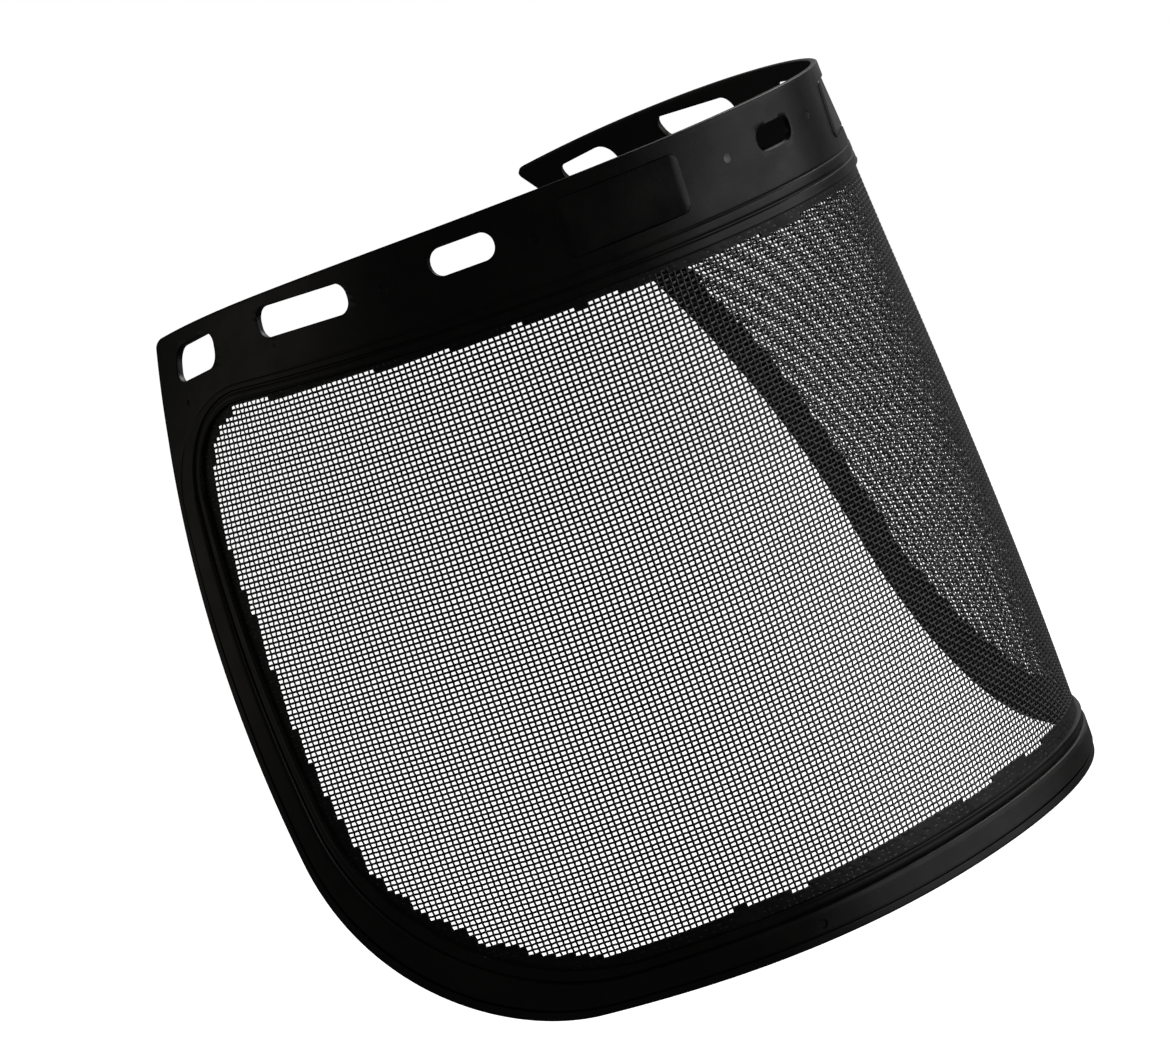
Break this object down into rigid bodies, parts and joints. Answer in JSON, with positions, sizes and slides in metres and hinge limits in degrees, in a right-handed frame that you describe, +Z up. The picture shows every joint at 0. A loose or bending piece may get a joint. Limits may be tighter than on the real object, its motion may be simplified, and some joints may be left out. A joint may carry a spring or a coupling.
{
  "type": "mesh visor",
  "caption": "Wrap-around protective visor for a browguard: woven wire mesh held in a slotted, moulded black surround.",
  "frame": {"origin": "centre of the bounding box across and front to back, at the height of the lowest point of the bottom edge", "axes": "+X across the face towards the wearer's left, +Y back towards the wearer, +Z up as worn; the outside of the visor faces -Y"},
  "size_m": [0.2454, 0.1616, 0.2033],
  "materials": {
    "black_moulding": "black moulded plastic, satin to semi-gloss, fine mould texture",
    "black_wire": "black coated steel wire, plain weave"
  },
  "bodies": {
    "root": {"surround": "black_moulding", "wire_cloth": "black_wire"}
  },
  "joints": []
}
